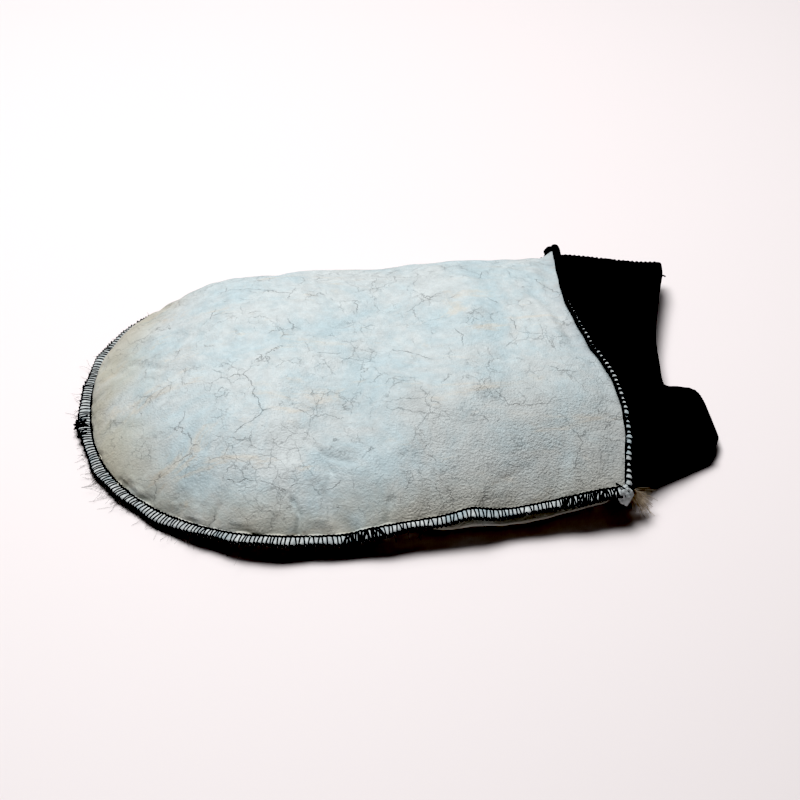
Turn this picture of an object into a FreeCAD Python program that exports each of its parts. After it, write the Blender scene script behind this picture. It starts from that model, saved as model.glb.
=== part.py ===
import FreeCAD, Part
import math
import os

# Sheepskin wash mitt lying on a table: two domed hides sewn skin side out round their edge, wool pile inside
# round the hand cavity, and a folded rib-knit cuff overlocked to the wrist, which bends at the wrist seam.
#
# Millimetres. +X runs from the fingertips to the cuff's mouth, +Y across the palm, +Z up. The origin is the
# centre of the whole mitt's box in plan, on the table.

Vector = FreeCAD.Vector

# ---- hides ----
TIP_X = -121.9  # outer edge of the seam flange at the fingertips
HALF_WIDTH = 82.4  # half width over the seam flange, at the widest
HALF_WIDTH_WRIST = 77.0  # the same at the wrist
TIP_LENGTH = 92.0  # length of the rounded tip
TIP_POWER = 2.3  # superellipse power of the tip; 2 is an ellipse
FLANGE = 4.5  # width of the sewn flange outside the domes
HIDE = 1.2  # leather thickness
CROWN = 19.5  # height of the top dome over the seam
SIDE_WALL = 0.28  # share of a dome's height left as a wall at its edge
DOME_POWER = 3.5  # fullness of the domes
TABLE_CUT = 0.6  # how far the bottom dome is flattened by the table

# height of the seam's plane, and of the bottom dome's lowest line, along x
SEAM_HEIGHTS = [(-130, 8.0), (-80, 8.6), (-20, 11.6), (30, 13.2), (78, 12.4), (100, 12.0)]
BELLY_HEIGHTS = [(-130, -TABLE_CUT), (0, -TABLE_CUT), (34, -TABLE_CUT), (58, 2.6), (74, 4.6), (100, 5.0)]

# ---- wool ----
PILE_INSET = 12.0  # depth of wool round the sides of the hand cavity
CAVITY_UP, CAVITY_DOWN = 6.5, 3.6  # hand cavity above and below the seam's level

# ---- wrist ----
# x of the wrist seam across the palm, on the top hide and on the bottom one
TOP_WRIST = [(-96, 76.0), (-74, 76.6), (-63, 78.4), (-53, 80.2), (-41, 81.2), (-30, 80.8), (-20, 78.8),
             (-8, 75.4), (7, 72.6), (23, 71.4), (45, 72.6), (74, 75.6), (96, 76.0)]
BOTTOM_WRIST = [(-96, 76.0), (96, 76.0)]
LIP = 3.4  # height of the wrist seam's ridge
SEWN_EDGE = 1.5  # thickness of knit caught in the wrist seam

# ---- cuff ----
PLY = 1.15  # one ply of the rib knit
PLY_GAP = 0.5  # between the two plies of the folded cuff
HEM = 3.0  # depth of the fold at the cuff's mouth
WALL = 2 * PLY + PLY_GAP  # the folded cuff's wall
MOUTH_X = 122.4  # furthest point of the cuff's mouth
CUFF_POWER = 2.6  # superellipse power of the cuff's section
HINGE_X, HINGE_Z = 84.0, 17.2  # line that the cuff bends about
# centre and half size of the cuff's section: y, z, half width, half height
CUFF_ROOT = (0.4, HINGE_Z, 72.2, 12.4)
CUFF_MOUTH = (12.6, 6.5, 59.4, 6.4)
BARREL_R = 13.0  # radius of the cuff's rounded root about that line
BARREL_HALF, BARREL_END = 74.0, 72.4  # its half width if it ran out to nothing, and where its flat ends are
HINGE_GAP = 0.4  # clearance round the root
# the cuff's two rims, as x back from MOUTH_X across the palm; the lower one has a tongue on the near side
UPPER_RIM = [(-90, -6), (-50, -6), (-42, -7), (-34, -11), (-22, -15.5), (-8, -17), (5, -15.6), (18, -14),
             (38, -9), (53, -4.3), (64, -1), (72, 0), (90, 0)]
LOWER_RIM = [(-90, -13), (-60, -13), (-54, -10.5), (-50, -6.4), (-46, -3.8), (-41, -2.7), (-28, -2.7),
             (-15, -3.1), (-9, -5.8), (-6, -10.4), (-2, -14.8), (4, -16.6), (15, -16.4), (32, -13), (47, -8),
             (62, -2.4), (72, 0), (90, 0)]

# ---- thread ----
THREAD = 0.22  # thread radius
STITCH = 3.0  # stitch length
CLEAR = 0.04  # thread to leather
CORNER_R = 0.5  # bend of a thread round an edge
LOOP_END = 0.1  # how near the seam's level a loop's end stops on the flange's edge
NEEDLE_RUN = 0.84  # share of a stitch that the needle thread shows
# how far the ends of each thread lie from the dome
NEEDLE_IN, UPPER_IN, LOWER_IN, TACK_IN = 2.2 * THREAD, 5.5 * THREAD, 4 * THREAD, 3 * THREAD
TACK_X, TACK_LENGTH, TACK_STEP = -22.0, 9.0, 0.75  # where the edge seam overlaps its own start
WRIST_SPAN = 0.86  # share of the wrist's half width that its threads cover
RIDGE_SLACK, RIDGE_RISE = 0.35, 0.2  # how loosely the wrist's threads lie beside its ridge and over it
RIDGE_FOOT = 1.2  # height of the lower ends of the wrist's threads on the ridge
RIDGE_MIDDLE = 0.1  # where the two sides' threads meet on the ridge, past the hide's edge
TAIL_STRANDS, TAIL_STEP = 3, 0.7  # strands of the chain tail, and their spacing
JOIN_STEP, JOIN_HALF = 0.75 * STITCH, 1.1  # spacing and half length of the stitches that close the cuff
JOIN_START, JOIN_CLEAR = 3.0, 0.3  # first of them past the hinge line, and their distance from the knit

BIG = 300.0  # larger than anything it cuts


def smooth_edge(points):
    curve = Part.BSplineCurve()
    curve.interpolate(points)
    return curve.toShape()


def slab(points, corner_a, corner_b, way, depth):
    """Block whose face is bounded by a smooth line and two corners, extruded depth along way."""
    edges = [
        smooth_edge(points),
        Part.makeLine(points[-1], corner_a),
        Part.makeLine(corner_a, corner_b),
        Part.makeLine(corner_b, points[0]),
    ]
    return Part.Face(Part.Wire(edges)).extrude(way * depth).translated(way * (-depth / 2))


def read(table, x):
    """A value read from a table of (x, value), eased between its entries."""
    if x <= table[0][0]:
        return table[0][1]
    for (x0, v0), (x1, v1) in zip(table, table[1:]):
        if x <= x1:
            t = (x - x0) / (x1 - x0)
            return v0 + (v1 - v0) * t * t * (3 - 2 * t)
    return table[-1][1]


def seam_z(x):
    return read(SEAM_HEIGHTS, x)


def belly_z(x):
    return read(BELLY_HEIGHTS, x)


# ---- plan of the mitt ----
def half_width(x, inset):
    """Half width of the straight part, inset from the flange's outer edge."""
    start = TIP_X + TIP_LENGTH
    return read([(start, HALF_WIDTH), (77.0, HALF_WIDTH_WRIST)], x) - inset


def inward(x, y, inset):
    """0 on the mitt's spine and 1 on its outline inset by inset."""
    centre = TIP_X + TIP_LENGTH
    across = abs(y) / half_width(x, inset)
    if x >= centre:
        return across
    along = (centre - x) / (TIP_LENGTH - inset)
    return (along**TIP_POWER + across**TIP_POWER) ** (1 / TIP_POWER)


def outline_points(inset, end_x):
    """The U of the outline from the far side at end_x, round the tip, to the near side."""
    centre = TIP_X + TIP_LENGTH
    straight = [end_x + (centre - end_x) * i / 6.0 for i in range(6)]
    far = [Vector(x, half_width(x, inset), 0) for x in straight]
    tip = []
    for i in range(25):
        a = math.pi * i / 24.0
        c, s = math.cos(a), math.sin(a)
        x = centre - (TIP_LENGTH - inset) * abs(s) ** (2 / TIP_POWER)
        y = (HALF_WIDTH - inset) * math.copysign(abs(c) ** (2 / TIP_POWER), c)
        tip.append(Vector(x, y, 0))
    near = [Vector(v.x, -v.y, 0) for v in reversed(far)]
    return far + tip + near


def prism(inset, end_x=110.0):
    """Upright block with the mitt's plan, open-ended past the wrist."""
    points = outline_points(inset, end_x)
    edges = [smooth_edge(points), Part.makeLine(points[-1], points[0])]
    return Part.Face(Part.Wire(edges)).extrude(Vector(0, 0, BIG)).translated(Vector(0, 0, -BIG / 2))


# ---- blocks of everything below a surface ----
def below_level(height_of_x, lift=0.0):
    """Everything below a surface whose height depends on x alone."""
    points = [Vector(x, 0, height_of_x(x) + lift) for x in range(-140, 141, 10)]
    return slab(points, Vector(140, 0, -BIG), Vector(-140, 0, -BIG), Vector(0, 1, 0), 240)


def below_field(height):
    """Everything below the surface z = height(x, y)."""
    grid = [[Vector(x, y, height(x, y)) for y in range(-104, 105, 13)] for x in range(-136, 129, 12)]
    surface = Part.BSplineSurface()
    surface.interpolate(grid)
    return surface.toShape().extrude(Vector(0, 0, -2 * BIG))


def bulge(x, y, inset):
    """1 on the spine, falling to SIDE_WALL at the outline inset by inset."""
    return 1 - (1 - SIDE_WALL) * min(inward(x, y, inset), 1.45) ** DOME_POWER


def dome_field(lift=0.0):
    """Top hide's outer face, raised by lift."""
    return lambda x, y: seam_z(x) + lift + CROWN * bulge(x, y, FLANGE)


def belly_field(lift=0.0):
    """Bottom hide's outer face, raised by lift."""
    return lambda x, y: seam_z(x) + lift - (seam_z(x) - belly_z(x)) * bulge(x, y, FLANGE)


def cavity_field(height):
    return lambda x, y: seam_z(x) + height * bulge(x, y, FLANGE + HIDE + PILE_INSET)


# ---- wrist and hinge ----
def before_wrist(line, shift=0.0):
    """Everything on the fingers' side of a wrist seam, moved along x by shift."""
    points = [Vector(x + shift, y, 0) for y, x in line]
    return slab(points, Vector(-200, 96, 0), Vector(-200, -96, 0), Vector(0, 0, 1), BIG)


def barrel(gap):
    """The cuff's rounded root, grown by gap: a superellipse turned about the hinge line, with flat ends."""
    radius, half, end = BARREL_R + gap, BARREL_HALF + gap, BARREL_END + gap
    first = math.acos((end / half) ** (CUFF_POWER / 2))
    points = []
    for i in range(17):
        a = first + (math.pi - 2 * first) * i / 16.0
        y = -half * math.copysign(abs(math.cos(a)) ** (2 / CUFF_POWER), math.cos(a))
        points.append(Vector(HINGE_X, CUFF_ROOT[0] + y, HINGE_Z + radius * math.sin(a) ** (2 / CUFF_POWER)))
    near, far = [Vector(HINGE_X, p.y, HINGE_Z) for p in (points[0], points[-1])]
    edges = [
        smooth_edge(points),
        Part.makeLine(points[-1], far),
        Part.makeLine(far, near),
        Part.makeLine(near, points[0]),
    ]
    return Part.Face(Part.Wire(edges)).revolve(near, Vector(0, 1, 0), 360)


def past_hinge():
    return Part.makeBox(200, 240, 200, Vector(HINGE_X, -120, -100))


def below_table(lift=0.0):
    return Part.makeBox(BIG, BIG, 100, Vector(-BIG / 2, -BIG / 2, -100 + lift))


def make_lips(thickness, deeper):
    """The wrist seam's ridge out of the top dome and out of the belly, thickness towards the fingers if
    negative and towards the cuff if positive, with its foot deeper inside."""
    top_zone = before_wrist(TOP_WRIST, max(thickness, 0)).cut(before_wrist(TOP_WRIST, min(thickness, 0)))
    low_zone = before_wrist(BOTTOM_WRIST, max(thickness, 0))
    low_zone = low_zone.cut(before_wrist(BOTTOM_WRIST, min(thickness, 0)))
    seam, plan = below_level(seam_z), prism(FLANGE)
    top = plan.common(below_field(dome_field(LIP))).cut(below_field(dome_field(-deeper))).cut(seam)
    low = plan.common(below_field(belly_field(deeper))).cut(below_field(belly_field(-LIP))).common(seam)
    return top.common(top_zone), low.common(low_zone)


# ---- hides, wool and the cuff's sewn edge ----
def make_hides_and_wool():
    seam, turning = below_level(seam_z), barrel(HINGE_GAP).fuse(past_hinge())
    skin_plan, wool_plan = prism(FLANGE), prism(FLANGE + HIDE)
    flange_plan = prism(0.0).cut(wool_plan)
    cavity_plan = prism(FLANGE + HIDE + PILE_INSET)
    top_lip, low_lip = make_lips(-HIDE, 0.2)

    top_outer = skin_plan.common(below_field(dome_field())).cut(seam)
    top_inner = wool_plan.common(below_field(dome_field(-HIDE))).cut(seam)
    top_flange = flange_plan.common(below_level(seam_z, HIDE)).cut(seam)
    top_hide = top_outer.cut(top_inner).fuse([top_flange, top_lip])
    top_wool = top_inner.cut(cavity_plan.common(below_field(cavity_field(CAVITY_UP))))

    low_outer = skin_plan.common(seam).cut(below_field(belly_field())).cut(below_table())
    low_inner = wool_plan.common(seam).cut(below_field(belly_field(HIDE))).cut(below_table(HIDE))
    low_flange = flange_plan.common(seam).cut(below_level(seam_z, -HIDE))
    low_hide = low_outer.cut(low_inner).fuse([low_flange, low_lip])
    low_wool = low_inner.cut(cavity_plan.cut(below_field(cavity_field(-CAVITY_DOWN))))

    to_top, to_low = before_wrist(TOP_WRIST), before_wrist(BOTTOM_WRIST)
    made = {
        "top_hide": top_hide.common(to_top),
        "bottom_hide": low_hide.common(to_low),
        "top_wool": top_wool.common(to_top),
        "bottom_wool": low_wool.common(to_low),
    }
    return {name: shape.cut(turning).removeSplitter() for name, shape in made.items()}


def make_sewn_edge():
    """The cuff's raw edge, caught in the wrist seam beside the hides' turned-out edges."""
    top, low = make_lips(SEWN_EDGE, WALL)
    zone = before_wrist(TOP_WRIST, SEWN_EDGE).cut(before_wrist(TOP_WRIST)).cut(before_wrist(BOTTOM_WRIST))
    ring = prism(0.0).cut(prism(FLANGE + WALL)).common(zone)
    sides = ring.common(below_level(seam_z, 2 * HIDE)).cut(below_level(seam_z, -2 * HIDE))
    return top.fuse([low, sides]).cut(barrel(HINGE_GAP).fuse(past_hinge())).removeSplitter()


# ---- cuff ----
def cuff_section(x):
    """Centre y and z, half width and half height of the cuff's outside at x."""
    t = max(0.0, (x - HINGE_X) / (MOUTH_X - HINGE_X))
    return [a + (b - a) * t for a, b in zip(CUFF_ROOT, CUFF_MOUTH)]


def cuff_ring(x, inset):
    """Closed outline of the cuff at x, inset all round."""
    mid_y, mid_z, wide, high = cuff_section(x)
    points = []
    for i in range(32):
        a = 2 * math.pi * (i + 0.5) / 32
        c, s = math.cos(a), math.sin(a)
        y = mid_y + (wide - inset) * math.copysign(abs(c) ** (2 / CUFF_POWER), c)
        z = mid_z + (high - inset) * math.copysign(abs(s) ** (2 / CUFF_POWER), s)
        points.append(Vector(x, y, z))
    curve = Part.BSplineCurve()
    curve.interpolate(points, PeriodicFlag=True)
    return Part.Wire([curve.toShape()])


def cuff_block(inset):
    """The cuff's outer shape, inset all round: straight to the hinge line, then tapered."""
    root = Part.makeLoft([cuff_ring(HINGE_X - 20, inset), cuff_ring(HINGE_X, inset)], True, True)
    rest = Part.makeLoft([cuff_ring(HINGE_X, inset), cuff_ring(MOUTH_X + 6, inset)], True, True)
    return root.fuse(rest)


def before_rim(rim, shift):
    """Everything on the wrist's side of a rim."""
    points = [Vector(MOUTH_X + dx + shift, y, 0) for y, dx in rim]
    return slab(points, Vector(-50, 90, 0), Vector(-50, -90, 0), Vector(0, 0, 1), BIG)


def before_rims(shift):
    """What lies before both rims: the upper one's above the cuff's middle, the lower one's below."""
    middle = below_level(lambda x: cuff_section(x)[1])
    return before_rim(UPPER_RIM, shift).cut(middle).fuse(before_rim(LOWER_RIM, shift).common(middle))


def make_cuff():
    """One tube of knit folded back on itself: an outer ply, an inner ply and the fold at the mouth."""
    wall = cuff_block(0.0).cut(cuff_block(WALL)).common(before_rims(0.0))
    outer_ply_and_fold = wall.cut(cuff_block(PLY).common(before_rims(-HEM)))
    inner_ply = wall.common(cuff_block(PLY + PLY_GAP))
    before_hinge = Part.makeBox(60, 240, 120, Vector(HINGE_X - 60, -120, -40))
    cuff = outer_ply_and_fold.fuse(inner_ply).removeSplitter()
    return cuff.cut(before_hinge.cut(barrel(0.0))).cut(below_table()).removeSplitter()


# ---- thread ----
def bent_thread(points):
    """A round thread along three or more points, its corners turned by arcs."""
    edges, start = [], points[0]
    for before, corner, after in zip(points, points[1:], points[2:]):
        u, v = (before - corner).normalize(), (after - corner).normalize()
        half, across = u.getAngle(v) / 2, (u + v).normalize()
        reach = CORNER_R / math.tan(half)
        middle = corner + across * (CORNER_R / math.sin(half) - CORNER_R)
        enter, leave = corner + u * reach, corner + v * reach
        edges += [Part.makeLine(start, enter), Part.Arc(enter, middle, leave).toShape()]
        start = leave
    edges.append(Part.makeLine(start, points[-1]))
    profile = Part.Wire([Part.makeCircle(THREAD, points[0], points[1] - points[0])])
    return Part.Wire(edges).makePipeShell([profile], True, False)


def straight_thread(a, b):
    return Part.makeCylinder(THREAD, (b - a).Length, a, b - a)


def stations_along(curve, step, start=0.0):
    """Points, forward directions and inward directions at even steps along the edge."""
    length = curve.length()
    found, s = [], start
    while s < length:
        u = curve.parameterAtDistance(s, curve.FirstParameter)
        forward = Vector(*curve.tangent(u)[0]).normalize()
        found.append((curve.value(u), forward, Vector(-forward.y, forward.x, 0)))
        s += step
    return found


def in_tack(point, shorter=0.0):
    return point.y < 0 and abs(point.x - TACK_X) < TACK_LENGTH / 2 - shorter


def raised(point, lift):
    return Vector(point.x, point.y, seam_z(point.x) + lift)


def make_edge_seam():
    """Overlock round the flange: needle stitches, a looper over it, a looper under it, and the tack."""
    curve = Part.BSplineCurve()
    curve.interpolate(outline_points(0.0, 74.0))
    rise, reach = HIDE + THREAD + CLEAR, THREAD + CLEAR
    needle, upper, lower, tack = [], [], [], []
    for point, forward, within in stations_along(curve, STITCH, STITCH / 2):
        if not in_tack(point):
            line = point + within * (FLANGE - NEEDLE_IN)
            half = forward * (NEEDLE_RUN * STITCH / 2)
            needle.append(straight_thread(raised(line - half, rise), raised(line + half, rise)))
            inner, outer = point + within * (FLANGE - UPPER_IN), point - within * reach
            upper.append(bent_thread([raised(inner, rise), raised(outer, rise), raised(outer, LOOP_END)]))
    for point, forward, within in stations_along(curve, STITCH, STITCH):
        if not in_tack(point):
            inner, outer = point + within * (FLANGE - LOWER_IN), point - within * reach
            lower.append(bent_thread([raised(inner, -rise), raised(outer, -rise), raised(outer, -LOOP_END)]))
    for point, forward, within in stations_along(curve, TACK_STEP):
        if in_tack(point, 3 * THREAD):
            inner, outer = point + within * (FLANGE - TACK_IN), point - within * reach
            ends = [raised(inner, rise), raised(outer, rise), raised(outer, -rise), raised(inner, -rise)]
            tack.append(bent_thread(ends))
    return {
        "edge_needle_thread": needle,
        "edge_upper_looper_thread": upper,
        "edge_lower_looper_thread": lower,
        "edge_seam_tack": tack,
    }


def drawn(line):
    """A wrist line's smooth curve as a fine table of (y, x)."""
    edge = smooth_edge([Vector(x, y, 0) for y, x in line])
    return [(point.y, point.x) for point in edge.discretize(400)]


def make_wrist_seam():
    """Overlock over the wrist seam's ridge on both faces: a looper on each side, and needle stitches. A loop
    that would lie in the way of the cuff's root is left out."""
    hide_side, knit_side, needle = [], [], []
    reach = THREAD + CLEAR
    lines = ((drawn(TOP_WRIST), dome_field(), 1), (drawn(BOTTOM_WRIST), belly_field(), -1))
    turning = barrel(HINGE_GAP)
    y = -WRIST_SPAN * HALF_WIDTH_WRIST
    while y < WRIST_SPAN * HALF_WIDTH_WRIST:
        for line, face, way in lines:
            x, beside = read(line, y), y + 2 * THREAD + CLEAR
            back, mid = x - HIDE - reach - RIDGE_SLACK, x + RIDGE_MIDDLE
            front = read(line, beside) + SEWN_EDGE + reach + RIDGE_SLACK
            crest = face(x, y) + way * (LIP + reach + RIDGE_RISE)
            foot = crest - way * (LIP - RIDGE_FOOT)
            ends = [Vector(back, y, foot), Vector(back, y, crest), Vector(mid, y, crest)]
            hide_side.append(bent_thread(ends))
            ends = [Vector(front, beside, foot), Vector(front, beside, crest), Vector(mid, beside, crest)]
            loop = bent_thread(ends)
            if loop.distToShape(turning)[0] > CLEAR:
                knit_side.append(loop)
            run = Vector(back - 2 * reach, y - NEEDLE_RUN * STITCH / 2, foot - way * THREAD)
            needle.append(straight_thread(run, run + Vector(0, NEEDLE_RUN * STITCH, 0)))
        y += STITCH
    return {
        "wrist_upper_looper_thread": hide_side,
        "wrist_lower_looper_thread": knit_side,
        "wrist_needle_thread": needle,
    }


def make_chain_tail():
    """The chain of thread that the wrist seam runs out into at the far corner."""
    foot = Vector(77.0, HALF_WIDTH_WRIST - 2.0, seam_z(77.0) + 2 * HIDE + THREAD + CLEAR)
    strands = []
    for i in range(TAIL_STRANDS):
        a = foot + Vector(TAIL_STEP * (i - 1), 0, 0)
        strands.append(bent_thread([a, a + Vector(0.2, 0.8, 2.6), a + Vector(1.2 + 0.3 * i, 1.6, 4.6)]))
    return {"wrist_chain_tail": strands}


def make_cuff_seam():
    """Stitches that close the cuff's strip into a ring, along the far fold."""
    bars, x = [], HINGE_X + JOIN_START
    while x < MOUTH_X - HEM:
        mid_y, mid_z, wide, high = cuff_section(x)
        y = mid_y + wide + THREAD + JOIN_CLEAR
        bars.append(straight_thread(Vector(x, y, mid_z - JOIN_HALF), Vector(x, y, mid_z + JOIN_HALF)))
        x += JOIN_STEP
    return {"cuff_join_thread": bars}


def write(name, shapes):
    """One STEP file holding separate closed solids."""
    solids = [solid for shape in shapes for solid in shape.Solids]
    for solid in solids:
        if not solid.isValid() or solid.Volume <= 0:
            print(f"{name}: a solid is not valid, volume {solid.Volume:.2f}")
    whole = Part.makeCompound(solids)
    whole.exportStep(os.path.join("parts", name + ".step"))
    box = whole.optimalBoundingBox()
    print(
        f"{name:28s} {len(solids):4d} solids {whole.Volume:10.1f} mm3  x {box.XMin:7.2f} {box.XMax:7.2f}"
        f"  y {box.YMin:7.2f} {box.YMax:7.2f}  z {box.ZMin:6.2f} {box.ZMax:6.2f}"
    )


def main():
    os.makedirs("parts", exist_ok=True)
    for name, shape in make_hides_and_wool().items():
        write(name, [shape])
    write("cuff_sewn_edge", [make_sewn_edge()])
    write("rib_cuff", [make_cuff()])
    for group in (make_edge_seam(), make_wrist_seam(), make_chain_tail(), make_cuff_seam()):
        for name, shapes in group.items():
            write(name, shapes)


main()
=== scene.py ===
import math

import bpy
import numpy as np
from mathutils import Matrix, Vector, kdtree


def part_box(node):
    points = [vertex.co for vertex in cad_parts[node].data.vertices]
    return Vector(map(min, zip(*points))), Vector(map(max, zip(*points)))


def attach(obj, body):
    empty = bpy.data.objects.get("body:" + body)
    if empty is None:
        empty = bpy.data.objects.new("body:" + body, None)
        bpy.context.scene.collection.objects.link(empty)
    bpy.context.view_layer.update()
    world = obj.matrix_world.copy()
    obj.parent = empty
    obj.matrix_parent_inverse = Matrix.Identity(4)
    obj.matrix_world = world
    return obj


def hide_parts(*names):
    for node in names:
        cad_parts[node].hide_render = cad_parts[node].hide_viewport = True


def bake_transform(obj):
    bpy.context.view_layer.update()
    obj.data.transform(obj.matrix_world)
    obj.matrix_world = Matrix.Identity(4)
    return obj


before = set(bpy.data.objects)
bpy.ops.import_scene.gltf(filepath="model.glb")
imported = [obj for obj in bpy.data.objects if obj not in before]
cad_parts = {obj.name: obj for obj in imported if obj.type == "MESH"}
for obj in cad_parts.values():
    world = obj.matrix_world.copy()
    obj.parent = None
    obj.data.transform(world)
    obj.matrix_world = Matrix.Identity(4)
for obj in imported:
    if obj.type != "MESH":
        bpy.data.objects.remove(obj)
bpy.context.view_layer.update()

# Looks of the sheepskin wash mitt: two wrinkled hides, skin side out, the wool inside them, the overlock
# threads round the edge and the wrist, and the folded black rib-knit cuff.
#
# Shapes are worked out in millimetres in the frame's axes and turned into metres when a mesh is made.
# Lengths along the outline, s, run from the far side of the wrist, round the tip, to the near side.

MM = 0.001
HIDE_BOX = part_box("top_hide")
CUFF_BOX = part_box("rib_cuff")

# ---- the mitt's plan ----
TIP_X = HIDE_BOX[0][0] / MM
HALF_WIDTH = HIDE_BOX[1][1] / MM
HALF_WIDTH_WRIST = 77.0
TIP_LENGTH = 92.0
TIP_POWER = 2.3
TIP_LEAN = 7.7  # how far the tip leans to the far side
LEAN_FROM, LEAN_SPAN = -55.0, 55.0  # where it starts to lean, and over what length
CENTRE_X = TIP_X + TIP_LENGTH
FLANGE = 4.3  # width of the sewn flange outside the domes
HIDE = 1.1
DOME_HALF = 80.0  # about the half width of a dome

# (x, height) of the edge seam on the near side and on the far side
NEAR_SEAM = [(-124, 2.1), (-110, 2.1), (-100, 2.5), (-90, 3.6), (-78, 5.2), (-65, 6.6), (-55, 7.2),
             (-28, 6.4), (-18, 8.2), (-3, 9.4), (9, 9.9), (33, 9.2), (48, 10.4), (63, 12.6), (78, 13.6)]
FAR_SEAM = [(-124, 2.1), (-110, 2.1), (-100, 2.5), (-88, 2.9), (-72, 3.7), (-55, 4.9), (0, 5.2), (35, 6.0),
            (58, 7.4), (69, 10.0), (78, 17.8)]
# (x, height) that the top dome's height is counted from on the two sides
NEAR_LEVEL = [(-124, 3.0), (-97, 5.2), (-62, 7.8), (-30, 6.6), (0, 7.4), (29, 9.5), (58, 11.4), (78, 12.6)]
FAR_LEVEL = [(-124, 3.0), (-104, 4.4), (-88, 7.2), (-64, 15.2), (-40, 14.2), (-20, 14.0), (5, 14.4),
             (20, 16.0), (38, 19.0), (54, 20.8), (68, 21.2), (78, 20.6)]

# (y, x) of the wrist seam on the top hide
WRIST = [(-90, 75.6), (-77, 76.4), (-70, 77.4), (-63, 78.6), (-53, 80.6), (-41, 81.4), (-30, 80.8),
         (-20, 78.8), (-8, 75.4), (7, 72.6), (23, 71.2), (45, 72.6), (62, 74.6), (77, 76.0), (90, 76.4)]
CROWN = 20.5  # height of the top dome over the seam
WRIST_FALL, WRIST_REACH = 0.34, 62.0  # share of that height lost at the wrist, and over what length
FULL_NEAR, FULL_FAR = 0.86, 0.46  # how steeply the dome leaves the seam on either side; less is steeper
TABLE_GAP = 0.35  # height of the bottom hide's lowest points
ROLL, ROLL_DEPTH = 6.4, 3.0  # how far the bottom hide rolls out under the near seam, and how far in
BELLY = -3.5  # its lowest line, before the table flattens it
BELLY_RISE, BELLY_REACH = 8.5, 42.0  # how far that line rises at the wrist, and over what length
BUMP, BUMP_X, BUMP_WIDTH = 2.3, 19.0, 7.5  # rise of the near seam where it passes over a fold
EDGE_LIFT = 0.3  # how much higher the flange's outer edge is than its foot
# height, wavelength and seed of the top dome's unevenness
HILLS = [(0.8, 62, 3), (0.34, 24, 5), (0.16, 11, 8)]
GROOVE, GROOVE_AT, GROOVE_WIDTH = 0.9, 4.5, 3.6  # valley beside the wrist seam
LIP, LIP_WIDTH = 0.9, 2.0  # the hide turned up into that seam
STITCH = 3.0
THREAD = 0.28

# rows and columns of the hides' grids
TOP_GRID, BOTTOM_GRID = (96, 561), (72, 481)

# ---- the hides as cloth, simulated on a coarser grid ----
CLOTH_ROWS, CLOTH_COLUMNS, CLOTH_FRAMES = 34, 180, 20
CLOTH_SPARE = 0.035  # how much larger the cloth is than the shape it starts from
CLOTH = {"vertex_group_mass": "pinned", "quality": 6, "mass": 0.3, "tension_stiffness": 30,
         "compression_stiffness": 30, "bending_stiffness": 0.6, "shrink_min": -CLOTH_SPARE,
         "use_pressure": True, "uniform_pressure_force": 4.0}
CLOTH_CAP = 3.0  # furthest that a point may move
CLOTH_SWELL = 1.0  # how far the pressure lifts the whole panel, taken off again
CLOTH_TIP, CLOTH_WRIST = 0.62, 0.14  # share of its movement that is kept at the tip and towards the wrist
CLOTH_FADE_X, CLOTH_FADE = 15.0, 60.0  # where that share starts to grow, and over what length


def ease(t):
    t = np.clip(t, 0.0, 1.0)
    return t * t * (3.0 - 2.0 * t)


def bell(x, middle, width):
    return np.exp(-(((x - middle) / width) ** 2))


def curve(table, x):
    """Smooth curve through a table of (x, value) that never swings past its entries."""
    xs = np.array([p[0] for p in table], float)
    vs = np.array([p[1] for p in table], float)
    rises = np.diff(vs) / np.diff(xs)
    before, after = rises[:-1], rises[1:]
    slopes = np.zeros(len(vs))
    slopes[1:-1] = np.where(before * after > 0, 2 * before * after / (before + after + 1e-12), 0.0)
    x = np.clip(x, xs[0], xs[-1])
    i = np.clip(np.searchsorted(xs, x, side="right") - 1, 0, len(xs) - 2)
    h = xs[i + 1] - xs[i]
    t = (x - xs[i]) / h
    a = (1 + 2 * t) * (1 - t) ** 2 * vs[i] + t**2 * (3 - 2 * t) * vs[i + 1]
    return a + h * (t * (1 - t) ** 2 * slopes[i] - t**2 * (1 - t) * slopes[i + 1])


def ripples(x, y, wavelength, seed, waves=14):
    """Smooth random hills, about -1 to 1, of roughly that wavelength."""
    rng = np.random.default_rng(seed)
    total = np.zeros(np.broadcast(x, y).shape)
    for _ in range(waves):
        angle = rng.uniform(0, math.pi)
        step = 2 * math.pi / (wavelength * rng.uniform(0.7, 1.5))
        total += np.sin(step * (x * math.cos(angle) + y * math.sin(angle)) + rng.uniform(0, 2 * math.pi))
    return total / math.sqrt(waves)


def across(y):
    """0 on the near side and 1 on the far side."""
    return ease((y / HALF_WIDTH + 1) / 2)


def between(near, far, x, y):
    """A height read from the near side's table and the far side's."""
    return curve(near, x) * (1 - across(y)) + curve(far, x) * across(y)


def seam_height(x, y):
    return between(NEAR_SEAM, FAR_SEAM, x, y)


def wrist_x(y):
    return curve(WRIST, y)


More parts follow.
